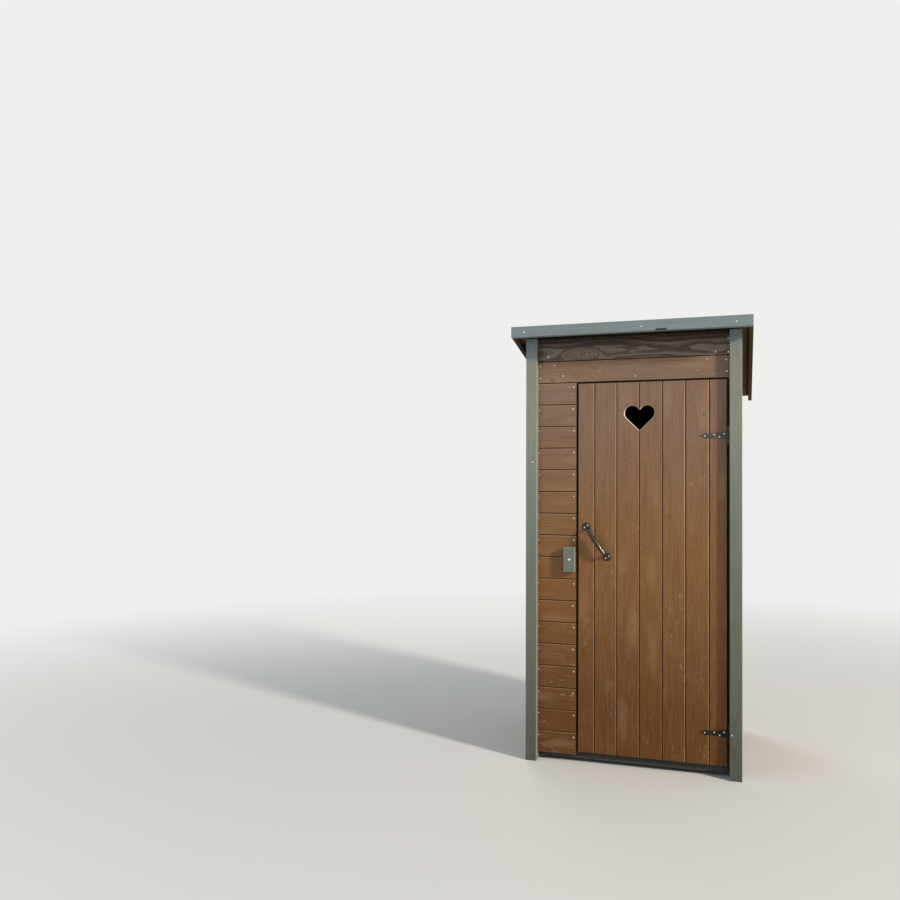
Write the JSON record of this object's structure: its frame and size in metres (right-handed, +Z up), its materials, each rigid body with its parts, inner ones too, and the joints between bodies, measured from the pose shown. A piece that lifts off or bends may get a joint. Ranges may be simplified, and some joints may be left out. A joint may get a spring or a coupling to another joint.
{
  "type": "outhouse",
  "caption": "Small wooden outhouse with a lean-to roof, boarded walls, and a hinged plank door with a heart cut-out, pull handle and turn-button.",
  "frame": {"origin": "on the ground, in the middle of the plan of the walls and of the roof", "axes": "+Z up, the door faces -Y, +X is to the right seen from the front"},
  "size_m": [1.146, 1.15, 2.1819],
  "materials": {
    "grey_painted_timber": "satin grey-blue paint on sawn timber",
    "brown_stained_boards": "brown stain on planed softwood boards",
    "bare_timber": "bare planed softwood",
    "black_iron": "glossy black enamel",
    "roofing_felt": "mineral-faced bitumen felt",
    "zinc_plated_steel": "zinc plated"
  },
  "bodies": {
    "root": {"front_left_post": "grey_painted_timber", "front_right_post": "grey_painted_timber", "rear_left_post": "grey_painted_timber", "rear_right_post": "grey_painted_timber", "base_front_rail": "grey_painted_timber", "base_rear_rail": "grey_painted_timber", "base_left_rail": "grey_painted_timber", "base_right_rail": "grey_painted_timber", "floor_joist": "bare_timber", "floor": "bare_timber", "front_side_wall": "brown_stained_boards", "front_top_wall": "brown_stained_boards", "left_wall": "brown_stained_boards", "right_wall": "brown_stained_boards", "rear_wall": "brown_stained_boards", "front_top_plate": "bare_timber", "rear_top_plate": "bare_timber", "left_top_rail": "bare_timber", "right_top_rail": "bare_timber", "left_mid_rail": "bare_timber", "right_mid_rail": "bare_timber", "rear_mid_rail": "bare_timber", "roof_purlin": "bare_timber", "front_left_stud": "bare_timber", "latch_stud": "grey_painted_timber", "hinge_stud": "grey_painted_timber", "door_header": "bare_timber", "roof_deck": "bare_timber", "roof_covering": "roofing_felt", "fascia": "grey_painted_timber", "left_barge_board": "grey_painted_timber", "right_barge_board": "grey_painted_timber", "lower_hinge_leaf": "black_iron", "upper_hinge_leaf": "black_iron", "turn_button_screw": "zinc_plated_steel"},
    "door": {"door_panel": "brown_stained_boards", "door_bottom_ledge": "bare_timber", "door_middle_ledge": "bare_timber", "door_top_ledge": "bare_timber", "door_lower_brace": "bare_timber", "door_upper_brace": "bare_timber", "lower_hinge_strap": "black_iron", "upper_hinge_strap": "black_iron", "door_handle": "black_iron"},
    "turn_button": {"turn_button": "grey_painted_timber"}
  },
  "joints": [
    {"name": "door_hinge", "type": "hinge", "parent": "root", "child": "door", "pos_m": [0.459, -0.44, 0.9], "axis": [0, 0, 1], "range_deg": [0, 100]},
    {"name": "turn_button_pivot", "type": "hinge", "parent": "root", "child": "turn_button", "pos_m": [-0.301, -0.44, 1.02], "axis": [0, -1, 0], "continuous": true}
  ]
}
